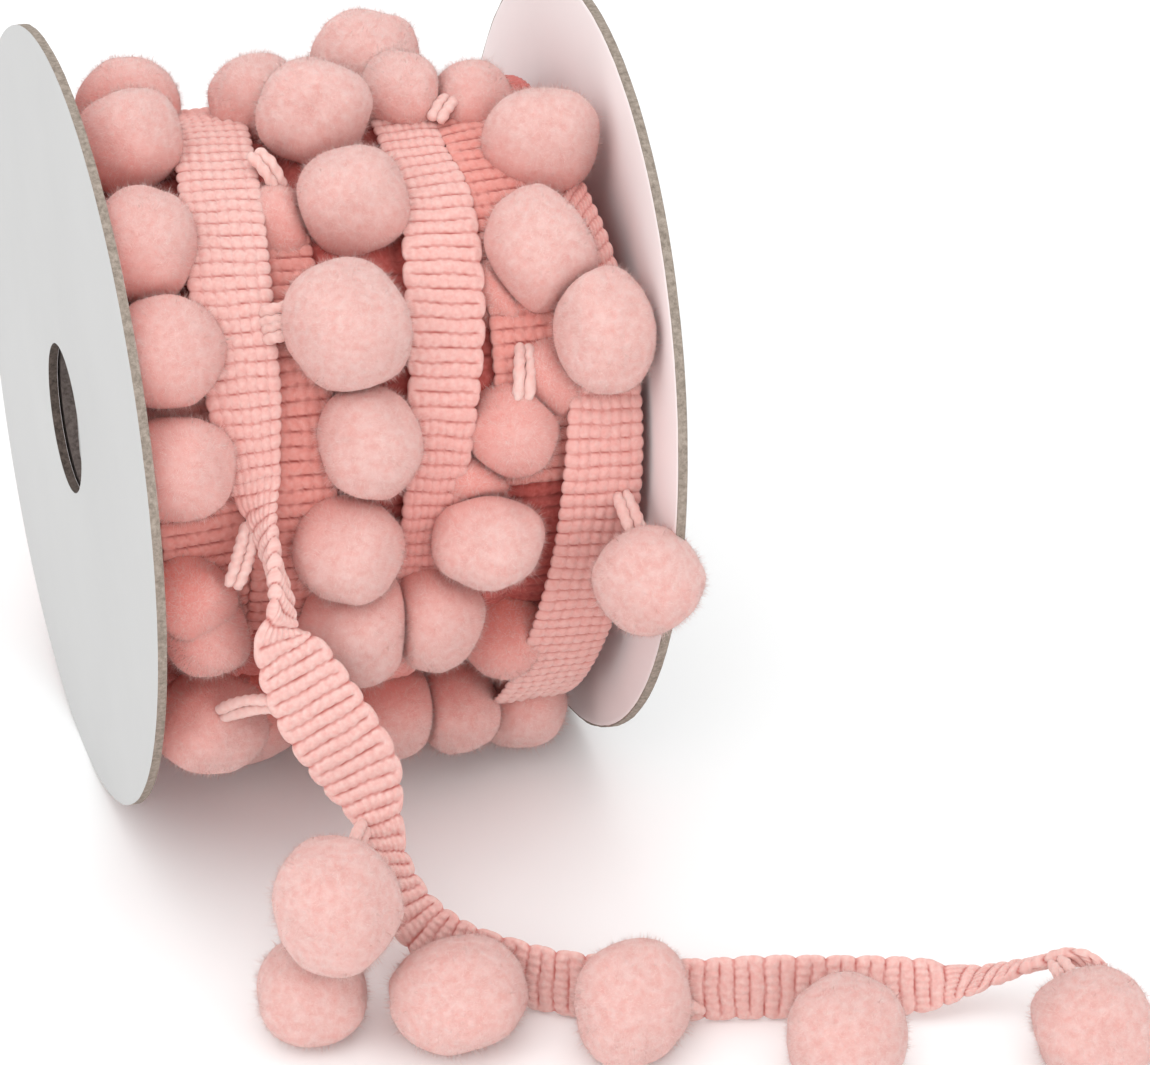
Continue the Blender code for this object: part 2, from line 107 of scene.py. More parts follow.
# Outer turns of the tape, by the angle round the axis from the front over the top
Turn = namedtuple("Turn", "angle along radius width")
TURN_ROWS = tuple(Turn(*row) for row in (
    (13.6, -15.0, 36.7, 5.8),
    (28, -15.0, 36.8, 8.0),
    (45, -14.6, 37.0, 8.8),
    (64, -13.4, 36.6, 8.8),
    (86, -11.9, 35.4, 8.4),
    (106, -11.2, 33.6, 8.8),
    (130, -10.5, 33.3, 9.0),
    (160, -9.2, 34.6, 9.2),
    (200, -7.0, 36.2, 9.4),
    (280, -2.0, 36.0, 9.2),
    (335, 2.4, 35.4, 7.0),
    (360, 4.2, 35.4, 6.4),
    (383, 6.6, 36.0, 7.6),
    (401, 8.4, 36.2, 8.6),
    (420, 9.8, 36.0, 8.0),
    (434, 9.4, 35.2, 7.0),
    (480, 11.0, 35.0, 9.0),
    (560, 15.0, 35.2, 9.4),
    (610, 16.4, 36.0, 9.4),
    (640, 17.2, 38.6, 9.6),
    (664, 18.6, 40.4, 9.8),
    (688, 20.6, 38.0, 9.8),
    (710, 22.6, 36.8, 9.4),
    (740, 24.6, 36.0, 8.0),
    (765, 26.2, 35.2, 3.8),
    (785, 25.6, 33.6, 3.0),
))

# How far the warp threads bridge the ribs along those turns: angle, share
TURN_BRIDGING = ((15, 0.95), (330, 0.9), (374, 0.8), (386, 0.2), (405, 0.15), (412, 0.3),
                 (422, 0.8), (600, 0.9), (785, 0.9))

# The same along the loose end, by the length walked in millimetres
LOOSE_BRIDGING = ((0, 0.95), (13, 0.8), (19, 0.12), (60, 0.12), (80, 0.3), (130, 0.3))

# The pieces of the outer turns: name, first and last angle, rows to a rib, columns
TURN_PIECES = (
    ("tape_last_turn", 13.6, 130, 8, 48),
    ("tape_back_turn", 130, 335, 4, 30),
    ("tape_middle_turn", 335, 470, 8, 48),
    ("tape_far_turn", 470, 655, 4, 30),
    ("tape_right_turn", 655, 785, 8, 48),
)

# Turns of tape one layer down that show between the pompoms
UNDER_TURNS = {
    "under_left": ((34, -21.5, 33.6, 9.0), (14, -20.6, 34.0, 9.2), (-4, -20.2, 34.0, 9.2),
                   (-26, -19.6, 33.4, 9.0)),
    "under_last_turn": ((66, -8.6, 34.0, 8.4), (44, -9.2, 34.6, 9.0), (20, -9.8, 34.8, 9.0),
                        (2, -10.6, 34.8, 9.0), (-22, -11.6, 34.0, 8.8)),
    "under_right": ((98, 15.8, 34.4, 8.2), (76, 17.2, 35.2, 8.8), (58, 17.7, 35.3, 8.8),
                    (40, 17.6, 34.8, 8.8), (22, 17.2, 34.2, 8.8), (4, 16.6, 33.8, 8.6)),
}
UNDER_BRIDGING = ((-30, 0.8), (100, 0.8))

# Balls on the front of the winding
Ball = namedtuple("Ball", "angle along radius size stretch")
BALL_ROWS = tuple(Ball(*row) for row in (
    (102, -19.3, 35, 11.8, 0.95),
    (80, -21.4, 37, 11.2, 1.05),
    (56, -22.8, 37, 11.6, 1.08),
    (37, -22.7, 37, 11.6, 1.05),
    (18, -22.8, 37, 11.4, 1.00),
    (-7, -22.4, 35.4, 9.2, 0.92),
    (-16, -21.0, 36.6, 9.4, 0.95),
    (94, -5.5, 35.8, 10.4, 1.00),
    (80, -0.8, 38, 12.6, 0.92),
    (62, -7.8, 32, 9.2, 1.15),
    (61, 0.6, 36, 12.8, 0.95),
    (37, -3.3, 39.6, 13.4, 1.02),
    (18, -2.2, 37.2, 11.0, 1.15),
    (-1, -5.4, 36.8, 12.4, 0.92),
    (-18, -4.5, 37, 13.4, 1.00),
    (-57, 2.6, 39.4, 10.8, 1.05),
    (103, 8.4, 37, 12.4, 1.00),
    (88, 10.3, 36, 9.4, 1.10),
    (87, 17.7, 34, 10.2, 1.08),
    (43, 15.0, 31, 9.4, 1.10),
    (15, 14.3, 33, 10.6, 1.05),
    (5, 9.3, 32, 8.8, 1.00),
    (-3, 9.9, 37.2, 12.4, 0.84),
    (-19, 4.2, 36.6, 11.4, 1.14),
    (-37, 14.2, 34, 10.6, 1.00),
    (-58, 10.4, 39.8, 10.8, 1.05),
    (-62, 18.4, 40.8, 11.2, 1.00),
    (69, 23.1, 36, 12.6, 0.92),
    (47, 19.7, 36, 12.2, 1.15),
    (31, 24.4, 39, 11.2, 1.24),
    (24, 19.3, 32, 9.0, 1.20),
    (-6, 26.0, 45.6, 11.9, 1.00),
))

# Two bulges that are one pompom: the second is merged with the first
MATES = {2: 1, 7: 6, 9: 8, 18: 17}

# Balls on the far side, in rows beside the turns of tape
FarRow = namedtuple("FarRow", "first_angle last_angle count offset")
FAR_ROWS = tuple(FarRow(*row) for row in (
    (160, 290, 7, -10.8),
    (160, 282, 7, 8.4),
    (164, 272, 5, 14.6),
    (524, 634, 6, 8.8),
))
FAR_RADIUS = 36.5 * MM
FAR_RISE = 1.6 * MM
FAR_SWAY = 1.2 * MM
FAR_SIZE = 11.6 * MM
FAR_SPREAD = 0.6 * MM

# The loose end: the middle of the tape, the way its fringed edge faces, width, thickness
Tape = namedtuple("Tape", "x y z edge_x edge_y edge_z width thickness")
TAPE_ROWS = tuple(Tape(*row) for row in (
    (-15.0, -34.9, 53.7, 1.00, -0.05, 0.00, 5.8, 1.4),
    (-14.7, -36.6, 49.8, 0.70, -0.70, 0.10, 3.8, 1.9),
    (-14.2, -39.4, 45.9, 0.10, -1.00, 0.00, 3.0, 2.2),
    (-13.9, -42.0, 42.4, -0.70, -0.70, 0.10, 3.2, 2.1),
    (-14.6, -43.2, 38.6, -0.98, -0.10, 0.18, 5.4, 1.7),
    (-13.2, -43.7, 35.2, -0.99, 0.03, 0.11, 8.0, 1.5),
    (-10.6, -45.0, 29.1, -0.95, 0.04, -0.30, 9.4, 1.5),
    (-7.1, -46.8, 22.2, -0.88, 0.05, -0.47, 8.8, 1.5),
    (-5.5, -48.7, 16.6, -0.85, -0.10, -0.52, 5.0, 1.8),
    (-4.8, -50.7, 12.2, -0.60, -0.40, -0.70, 4.0, 2.0),
    (-3.1, -53.8, 7.0, -0.35, -0.45, -0.82, 5.8, 1.7),
    (0.4, -57.8, 4.5, -0.12, -0.30, -0.93, 7.2, 1.5),
    (5.4, -62.4, 4.1, 0.00, -0.25, -0.95, 7.5, 1.5),
    (11.4, -66.7, 4.1, 0.00, -0.20, -0.97, 7.5, 1.5),
    (22.0, -70.6, 4.0, 0.00, -0.15, -0.98, 7.3, 1.5),
    (31.0, -72.9, 4.1, 0.00, -0.15, -0.98, 7.5, 1.5),
    (40.0, -75.4, 4.0, 0.05, -0.20, -0.97, 7.3, 1.5),
    (47.0, -76.9, 3.8, 0.10, -0.45, -0.88, 5.8, 1.6),
    (52.0, -77.4, 3.7, 0.10, -0.80, -0.60, 3.4, 1.8),
    (56.0, -77.8, 4.2, 0.00, -1.00, 0.00, 2.4, 1.8),
    (60.0, -79.0, 5.6, 0.00, -0.70, 0.70, 2.2, 1.7),
    (63.4, -81.0, 7.2, 0.00, -0.20, 0.98, 2.0, 1.6),
    (65.6, -83.6, 6.8, 0.00, 0.10, 0.98, 1.7, 1.5),
))

# Balls of the loose end, and how far along the tape each one's loop leaves it
Tail = namedtuple("Tail", "name x y z size height leave")
TAIL_ROWS = tuple(Tail(*row) for row in (
    ("beside_winding", -21.1, -32.6, 22.1, 12.4, 11.6, 24.5),
    ("upper", -14.0, -64.3, 18.0, 13.6, 15.6, 42.0),
    ("lower", -16.2, -61.6, 5.5, 12.2, 11.0, 50.0),
    ("first", -2.1, -67.4, 6.1, 14.6, 12.2, 68.0),
    ("second", 15.2, -75.0, 7.2, 12.4, 14.4, 87.0),
    ("third", 35.6, -85.2, 6.2, 13.6, 12.4, 104.0),
    ("last", 61.1, -91.2, 6.2, 13.0, 12.4, 126.0),
))

# Where a loop ends that is pressed into the face of its ball
LOOP_ENDS = {"beside_winding": (-20.6, -37.4, 26.2)}

# Loops of yarn that show on the winding
Loop = namedtuple("Loop", "angle along radius end_angle end_along end_radius")
LOOP_ROWS = tuple(Loop(*row) for row in (
    (72, -8.9, 37.5, 66, -6.5, 35.0),
    (78, 12.5, 35.6, 84, 15.8, 36.0),
    (31, 16.6, 34.0, 20, 15.0, 36.0),
    (6.2, -15.6, 35.8, -2.6, -18.7, 39.2),
    (2, 25.6, 35.8, -4, 26.2, 43.0),
    (38, -12.0, 36.2, 38, -6.5, 39.5),
    (41, -12.0, 36.2, 40, -6.5, 39.7),
))

# The camera, from the photo: place in the reel's frame in flange radii, and its turn
CAMERA_PLACE = np.array((-1.608, -7.877, 5.305))
CAMERA_YAW = 16.23
CAMERA_PITCH = 30.70
CAMERA_FOCUS_PIXELS = 3500
PHOTO_WIDTH = 1150
SENSOR = 36.0

# Soft lamps: name, place, size and power, all aimed at one point
LAMPS = (
    ("key", (-0.50, -0.80, 1.00), 1.1, 4.5),
    ("left", (-1.20, -0.35, 0.55), 1.0, 2.4),
    ("front", (0.25, -1.30, 0.42), 1.2, 4.4),
    ("top", (0.0, 0.1, 1.3), 1.2, 3.9),
)
SKY = 0.86
AIM = (0.0, 0.0, 0.03)


def add_camera():
    camera = bpy.data.cameras.new("camera")
    camera.sensor_width = SENSOR
    camera.lens = SENSOR * CAMERA_FOCUS_PIXELS / PHOTO_WIDTH
    camera.clip_start = 0.01
    camera.clip_end = 10.0
    item = bpy.data.objects.new("camera", camera)
    bpy.context.scene.collection.objects.link(item)
    item.location = REEL + CAMERA_PLACE * FLANGE_RADIUS
    item.rotation_euler = (math.radians(90 - CAMERA_PITCH), 0.0, math.radians(-CAMERA_YAW))
    bpy.context.scene.camera = item


def new_piece(name, verts, faces, materials, normals=None, flat=False):
    mesh = bpy.data.meshes.new(name)
    mesh.from_pydata(np.asarray(verts).tolist(), [], faces)
    for material in materials:
        mesh.materials.append(material)
    if not flat:
        mesh.shade_smooth()
    if normals is not None:
        mesh.normals_split_custom_set_from_vertices(np.asarray(normals).tolist())
    item = bpy.data.objects.new(name, mesh)
    bpy.context.scene.collection.objects.link(item)
    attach(item, "root")
    return item


def unit(vectors):
    return vectors / np.maximum(np.linalg.norm(vectors, axis=-1, keepdims=True), 1e-12)


def blend_table(rows, places):
    """A smooth curve through the rows at fractional row numbers: one output row a place."""
    table = np.array(rows, float)
    last = len(table) - 1
    index = np.clip(np.floor(places).astype(int), 0, last - 1)
    share = (places - index)[:, None]
    p0 = table[np.maximum(index - 1, 0)]
    p1 = table[index]
    p2 = table[index + 1]
    p3 = table[np.minimum(index + 2, last)]
    bend = 2 * p0 - 5 * p1 + 4 * p2 - p3
    twist = 3 * p1 - p0 - 3 * p2 + p3
    return 0.5 * (2 * p1 + (p2 - p0) * share + bend * share ** 2 + twist * share ** 3)


def axis_points(angle, along, radius):
    """Points by their angle round the axis in degrees, place along it and distance from it."""
    turn = np.radians(angle)
    along = np.broadcast_to(along, np.shape(turn))
    return np.stack((
        REEL_X + along,
        REEL_Y - radius * np.cos(turn),
        AXIS_Z + radius * np.sin(turn),
    ), axis=-1)


# Materials

def shader_of(material):
    return material.node_tree.nodes["Principled BSDF"]


def noise_node(tree, source, scale, detail=3.0, roughness=0.5):
    node = tree.nodes.new("ShaderNodeTexNoise")
    node.inputs["Scale"].default_value = scale
    node.inputs["Detail"].default_value = detail
    node.inputs["Roughness"].default_value = roughness
    tree.links.new(source, node.inputs["Vector"])
    return node.outputs["Fac"]


def ramp_node(tree, source, stops):
    node = tree.nodes.new("ShaderNodeValToRGB")
    ramp = node.color_ramp
    for index, (place, colour) in enumerate(stops):
        stop = ramp.elements[index] if index < 2 else ramp.elements.new(place)
        stop.position = place
        stop.color = (*colour, 1.0)
    tree.links.new(source, node.inputs["Fac"])
    return node.outputs["Color"]


def bump_node(tree, height, strength, distance, before=None):
    node = tree.nodes.new("ShaderNodeBump")
    node.inputs["Strength"].default_value = strength
    node.inputs["Distance"].default_value = distance
    tree.links.new(height, node.inputs["Height"])
    if before is not None:
        tree.links.new(before, node.inputs["Normal"])
    return node.outputs["Normal"]


def base_material(name, roughness):
    material = bpy.data.materials.new(name)
    material.use_nodes = True
    shader_of(material).inputs["Roughness"].default_value = roughness
    return material


def object_place(tree):
    return tree.nodes.new("ShaderNodeTexCoord").outputs["Object"]


def weave_place(tree, across, along):
    """Places on the tape's own face, in yarn sizes across it and along it."""
    uv = tree.nodes.new("ShaderNodeUVMap")
    uv.uv_map = "weave"
    node = tree.nodes.new("ShaderNodeMapping")
    node.inputs["Scale"].default_value = (1 / across, 1 / along, 1.0)
    tree.links.new(uv.outputs["UV"], node.inputs["Vector"])
    return node.outputs["Vector"]


def range_node(tree, source, known, wanted):
    node = tree.nodes.new("ShaderNodeMapRange")
    node.interpolation_type = "SMOOTHSTEP"
    node.inputs["From Min"].default_value = known[0]
    node.inputs["From Max"].default_value = known[1]
    node.inputs["To Min"].default_value = wanted[0]
    node.inputs["To Max"].default_value = wanted[1]
    tree.links.new(source, node.inputs["Value"])
    return node.outputs["Result"]


def painted_core_shade(tree, place, depths):
    """Share of painted shade: 1 far into the winding, below it and behind the left flange, and 0 on
    its lit outside. The deeper red painted there stands in for shade and for the redder light that
    has come through the yarn."""
    shifted = tree.nodes.new("ShaderNodeVectorMath")
    shifted.operation = "SUBTRACT"
    shifted.inputs[1].default_value = (0.0, REEL_Y, AXIS_Z - SHADE_DROP)
    tree.links.new(place, shifted.inputs[0])
    flat = tree.nodes.new("ShaderNodeVectorMath")
    flat.operation = "MULTIPLY"
    flat.inputs[1].default_value = (0.0, 1.0, 1.0)
    tree.links.new(shifted.outputs["Vector"], flat.inputs[0])
    length = tree.nodes.new("ShaderNodeVectorMath")
    length.operation = "LENGTH"
    tree.links.new(flat.outputs["Vector"], length.inputs[0])
    parts = tree.nodes.new("ShaderNodeSeparateXYZ")
    tree.links.new(place, parts.inputs["Vector"])
    shade = range_node(tree, parts.outputs["X"], (REEL_X - 27 * MM, REEL_X - 13 * MM), (SHADED, 0.0))
    rest = tree.nodes.new("ShaderNodeMath")
    rest.operation = "SUBTRACT"
    tree.links.new(length.outputs["Value"], rest.inputs[0])
    tree.links.new(shade, rest.inputs[1])
    return range_node(tree, rest.outputs["Value"], depths, (1.0, 0.0))


def paint_deep_shade(tree, colour, share, deep_shade):
    """Paints shade: turns a colour towards a deeper, shaded one by a share."""
    mix = tree.nodes.new("ShaderNodeMix")
    mix.data_type = "RGBA"
    factor, low, high = mix.inputs[0], mix.inputs[6], mix.inputs[7]
    tree.links.new(share, factor)
    tree.links.new(colour, low)
    high.default_value = (*deep_shade, 1.0)
    return mix.outputs[2]


def soften(shader, sheen, depth):
    """The soft look of yarn: a light sheen, a red glow from inside and no gloss."""
    shader.inputs["Sheen Weight"].default_value = sheen
    shader.inputs["Sheen Roughness"].default_value = 0.6
    shader.inputs["Sheen Tint"].default_value = (1.0, 0.80, 0.77, 1.0)
    shader.inputs["Specular IOR Level"].default_value = 0.1
    shader.inputs["Subsurface Weight"].default_value = depth
    shader.inputs["Subsurface Radius"].default_value = (1.0, 0.35, 0.30)
    shader.inputs["Subsurface Scale"].default_value = 2.0 * MM


def pompom_material():
    """Cut yarn, felted: faint mottling at the size of a tuft, and fine fibres."""
    material = base_material("pompom_yarn", 0.95)
    tree = material.node_tree
    shader = shader_of(material)
    place = object_place(tree)
    tufts = noise_node(tree, place, 1 / (1.0 * MM), 3.0, 0.6)
    colour = ramp_node(tree, tufts, ((0.32, (0.74, 0.40, 0.365)), (0.66, (0.79, 0.53, 0.495))))
    # Painted shade: the colour turns deeper red towards the core, low down and behind the left
    # flange.
    colour = paint_deep_shade(tree, colour, painted_core_shade(tree, place, BALL_SHADE_DEPTHS), (0.84, 0.26, 0.215))
    tree.links.new(colour, shader.inputs["Base Color"])
    fibres = noise_node(tree, place, 1 / (0.30 * MM), 5.0, 0.75)
    first = bump_node(tree, tufts, 0.6, 0.40 * MM)
    tree.links.new(bump_node(tree, fibres, 0.9, 0.22 * MM, first), shader.inputs["Normal"])
    soften(shader, 0.3, 0.35)
    return material


def plain_yarn_material(name, low, high, sheen):
    """Soft twisted yarn without a weave: loops, and stray fibres."""
    material = base_material(name, 0.95)
    tree = material.node_tree
    shader = shader_of(material)
    place = object_place(tree)
    mottle = noise_node(tree, place, 1 / (0.8 * MM), 2.0, 0.5)
    tree.links.new(ramp_node(tree, mottle, ((0.30, low), (0.70, high))), shader.inputs["Base Color"])
    fibres = noise_node(tree, place, 1 / (0.22 * MM), 3.0, 0.7)
    tree.links.new(bump_node(tree, fibres, 0.4, 0.10 * MM), shader.inputs["Normal"])
    soften(shader, sheen, 0.2)
    return material


def paint_pit_shade(tree, colour, pit):
    """Paints shade into the pits: turns the colour towards the pit's shaded colour where the weave is
    low.
    """
    height = tree.nodes.new("ShaderNodeAttribute")
    height.attribute_name = WEAVE_HEIGHT
    mix = tree.nodes.new("ShaderNodeMix")
    mix.data_type = "RGBA"
    share = tree.nodes.new("ShaderNodeMapRange")
    share.inputs["From Min"].default_value = 0.14
    share.inputs["From Max"].default_value = 0.58
    tree.links.new(height.outputs["Fac"], share.inputs["Value"])
    factor, low, high = mix.inputs[0], mix.inputs[6], mix.inputs[7]
    tree.links.new(share.outputs["Result"], factor)
    low.default_value = (*pit, 1.0)
    tree.links.new(colour, high)
    return mix.outputs[2]


def tape_material(name, low, high, pit, deep_shade=None):
    """Woven yarn: pits between the ribs darkened with painted shade, knots of the twisted weft and
    fine fibres.
    """
    material = base_material(name, 0.92)
    tree = material.node_tree
    shader = shader_of(material)
    knots = noise_node(tree, weave_place(tree, 0.62 * MM, 0.62 * MM), 1.0, 2.0, 0.5)
    colour = ramp_node(tree, knots, ((0.30, low), (0.70, high)))
    # Painted shade on the outer tape: deeper red towards the core, low down and behind the left
    # flange.
    if deep_shade is not None:
        colour = paint_deep_shade(tree, colour, painted_core_shade(tree, object_place(tree), TAPE_SHADE_DEPTHS), deep_shade)
    tree.links.new(paint_pit_shade(tree, colour, pit), shader.inputs["Base Color"])
    fibres = noise_node(tree, object_place(tree), 1 / (0.20 * MM), 3.0, 0.7)
    first = bump_node(tree, knots, 0.5, 0.16 * MM)
    tree.links.new(bump_node(tree, fibres, 0.5, 0.08 * MM, first), shader.inputs["Normal"])
    soften(shader, 0.2, 0.2)
    return material


def paper_material(name, tone):
    material = base_material(name, 0.62)
    tree = material.node_tree
    shader = shader_of(material)
    place = object_place(tree)
    cloud = noise_node(tree, place, 60.0, 5.0, 0.6)
    dark, light = (tuple(share * value for value in tone) for share in (0.98, 1.02))
    tree.links.new(ramp_node(tree, cloud, ((0.25, dark), (0.75, light))), shader.inputs["Base Color"])
    fibre = noise_node(tree, place, 900.0, 4.0, 0.6)
    tree.links.new(bump_node(tree, fibre, 0.12, 0.05 * MM), shader.inputs["Normal"])
    shader.inputs["Specular IOR Level"].default_value = 0.3
    return material


def board_material(name, low, high):
    """Raw board: the cut edge of the flanges and the core, with specks of its fibres."""
    material = base_material(name, 0.9)
    tree = material.node_tree
    shader = shader_of(material)
    place = object_place(tree)
    speck = noise_node(tree, place, 1 / (0.6 * MM), 4.0, 0.75)
    tree.links.new(ramp_node(tree, speck, ((0.32, low), (0.66, high))), shader.inputs["Base Color"])
    tree.links.new(bump_node(tree, speck, 0.6, 0.12 * MM), shader.inputs["Normal"])
    return material


# The tape

def rib_profile(distance, pitch):
    """Round ribs with open grooves between them: 1 on a crest and 0 in a groove."""
    phase = 2.0 * np.abs(distance / pitch - np.round(distance / pitch))
    return np.sin(phase * math.pi / 2) ** 0.46


def face_columns(count):
    """Places across the tape from -1 to 1, closer together at its edges."""
    even = np.linspace(-1.0, 1.0, count)
    return 0.6 * even + 0.4 * np.sin(even * math.pi / 2)


def weave_place_along(u, walked, widths):
    """Where each point lies along the ribs: they wander a little, and slant like a rope's
    strands where the tape is rolled up narrow."""
    slant = SLANT * np.clip((NARROW - widths) / (1.6 * MM), 0.0, 1.0)[:, None]
    ribs = walked[:, None] / RIB_PITCH
    wander = 0.05 * np.sin(2.3 * u[None, :] + 0.61 * ribs) + 0.04 * np.sin(5.1 * u[None, :] - ribs)
    return walked[:, None] + slant * u[None, :] + wander * RIB_PITCH


def weave_height(u, along, bridging):
    """Height of the weave, from 0 in a pit to 1 on a rib: one row a step of the tape's
    length, one column a place across. The weft lies in ribs, and two ribs at a time turn
    back in a lobe at each edge. Warp threads bridge the grooves as far as bridging says,
    and part the ribs into bricks."""
    edge = np.clip((np.abs(u) - 0.78) / 0.18, 0.0, 1.0)[None, :]
    share = bridging[:, None]
    ribs = rib_profile(along, RIB_PITCH)
    turns = rib_profile(along, 2 * RIB_PITCH) * (1 - share) + ribs * share
    crest = ribs * (1 - edge) + turns * edge
    odd = np.floor(along / RIB_PITCH) % 2
    beads = np.sin(math.pi * (BEAD_COLUMNS * u[None, :] + odd) / 2 + 0.3 * np.sin(along / MM)) ** 2
    crest = crest * (1.0 - BEAD * (1 - share) * beads)
    shift = 0.018 * np.sin(1.7 * along / RIB_PITCH)
    warp = np.zeros(along.shape)
    for place in WARPS:
        warp = np.maximum(warp, np.exp(-((u[None, :] + shift - place) / WARP_SPREAD) ** 2))
    warp = warp * (1 - edge)
    return np.maximum(crest * (1.0 - 0.48 * share * warp), 0.46 * share * warp)


def set_weave_map(piece, flat, height):
    """Writes each point's place on the flat tape, in metres, as the map named weave, and
    the height of the weave there."""
    heights = piece.data.attributes.new(WEAVE_HEIGHT, "FLOAT", "POINT")
    heights.data.foreach_set("value", height.astype(np.float32).ravel())
    layer = piece.data.uv_layers.new(name="weave")
    corners = np.empty(len(piece.data.loops), dtype=np.int32)
    piece.data.loops.foreach_get("vertex_index", corners)
    layer.data.foreach_set("uv", flat.reshape(-1, 2)[corners].astype(np.float32).ravel())


def strip_faces(count, ring):
    """Quads round a closed strip of count rings, and its two end faces."""
    here = np.arange(ring)[None, :]
    after = (here + 1) % ring
    row = np.arange(count - 1)[:, None] * ring
    quads = np.stack((row + here, row + after, row + after + ring, row + here + ring), axis=-1)
    ends = [list(range(ring))[::-1], list(range((count - 1) * ring, count * ring))]
    return quads.reshape(-1, 4).tolist() + ends


def ribbon(name, course, material, front_columns, back_columns, back_woven):
    """A woven tape as a closed strip along its course."""
    middles, edges, faces_out, widths, thicknesses, walked, bridging = course
    front_u = face_columns(front_columns)
    back_u = face_columns(back_columns)
    sides = []
    for u, way, woven in ((front_u, 1.0, True), (back_u, -1.0, back_woven)):
        along = weave_place_along(u, walked, widths)
        bricks = bridging[:, None]
        lobe = (1 - bricks) * (rib_profile(along, 2 * RIB_PITCH) - 0.6)
        lobe = lobe + bricks * BRICK_LOBE * (rib_profile(along, RIB_PITCH) - 0.6)
        reach = (widths / 2)[:, None] * u[None, :] + lobe * LOBE * u[None, :] ** 3
        height = weave_height(u, along, bridging) if woven else np.full(reach.shape, 0.6)
        body = np.sqrt(np.clip(1.0 - np.abs(u) ** 5, 0.0, 1.0))[None, :]
        rise = (thicknesses / 2)[:, None] * body * (GROOVE + (1 - GROOVE) * height)
        points = (middles[:, None, :] + edges[:, None, :] * reach[:, :, None]
                  + way * faces_out[:, None, :] * rise[:, :, None])
        flat = np.stack((reach, np.broadcast_to(walked[:, None], reach.shape)), axis=-1)
        sides.append((points, flat, height))
    verts, flat, height = (
        np.concatenate((front, back[:, -2:0:-1]), axis=1) for front, back in zip(*sides))
    verts[:, :, 2] = np.maximum(verts[:, :, 2], LIFT)
    ring = verts.shape[1]
    faces = strip_faces(len(middles), ring)
    piece = new_piece(name, verts.reshape(-1, 3), faces, [material])
    set_weave_map(piece, flat, height)
    return piece


def even_steps(points, spacing, before=0.0):
    """Fractional positions along a polyline at equal steps of length, and the lengths from
    a start that lies the length before ahead of it, so that grooves fall on steps."""
    lengths = np.concatenate(((0.0,), np.cumsum(np.linalg.norm(np.diff(points, axis=0), axis=1))))
    total = lengths[-1]
    marks = np.arange(math.ceil(before / spacing) * spacing, before + total, spacing) - before
    marks = marks[(marks > 0.3 * spacing) & (marks < total - 0.3 * spacing)]
    walked = np.concatenate(((0.0,), marks, (total,)))
    return np.interp(walked, lengths, np.arange(len(points))), walked + before


def wound_course(rows, first, last, spacing, bridging):
    """The course of a tape that follows the winding from one angle to another."""
    table = np.array(rows, float)
    numbers = np.arange(len(table))
    fine = np.linspace(first, last, 1200)
    values = blend_table(rows, np.interp(fine, table[:, 0], numbers))
    skipped = np.linspace(table[0, 0], first, 600)
    skipped_values = blend_table(rows, np.interp(skipped, table[:, 0], numbers))
    route = axis_points(skipped, skipped_values[:, 1] * MM, skipped_values[:, 2] * MM)
    before = np.sum(np.linalg.norm(np.diff(route, axis=0), axis=1))
    points = axis_points(fine, values[:, 1] * MM, values[:, 2] * MM)
    steps, walked = even_steps(points, spacing, before)
    angle = np.interp(steps, np.arange(len(fine)), fine)
    values = blend_table(rows, np.interp(angle, table[:, 0], numbers))
    middles = axis_points(angle, values[:, 1] * MM, values[:, 2] * MM - TAPE_THICKNESS / 2)
    run = unit(np.gradient(middles, axis=0))
    out = unit(middles - axis_points(angle, values[:, 1] * MM, 0.0))
    edges = unit(np.cross(out, run))
    faces_out = np.cross(run, edges)
    known, shares = zip(*bridging)
    return (middles, edges, faces_out, values[:, 3] * MM, np.full(len(angle), TAPE_THICKNESS),
            walked, np.interp(angle, known, shares))


def loose_course(spacing):
    """The course of the loose end, from the winding to its end on the floor."""
    fine = np.linspace(0, len(TAPE_ROWS) - 1, 1500)
    values = blend_table(TAPE_ROWS, fine)
    steps, walked = even_steps(values[:, :3] * MM, spacing)
    values = blend_table(TAPE_ROWS, np.interp(steps, np.arange(len(fine)), fine))
    middles = values[:, :3] * MM + REEL
    run = unit(np.gradient(middles, axis=0))
    edges = values[:, 3:6]
    edges = unit(edges - run * np.sum(edges * run, axis=1, keepdims=True))
    faces_out = np.cross(edges, run)
    known, shares = zip(*LOOSE_BRIDGING)
    bridging = np.interp(walked / MM, known, shares)
    return middles, edges, faces_out, values[:, 6] * MM, values[:, 7] * MM, walked, bridging


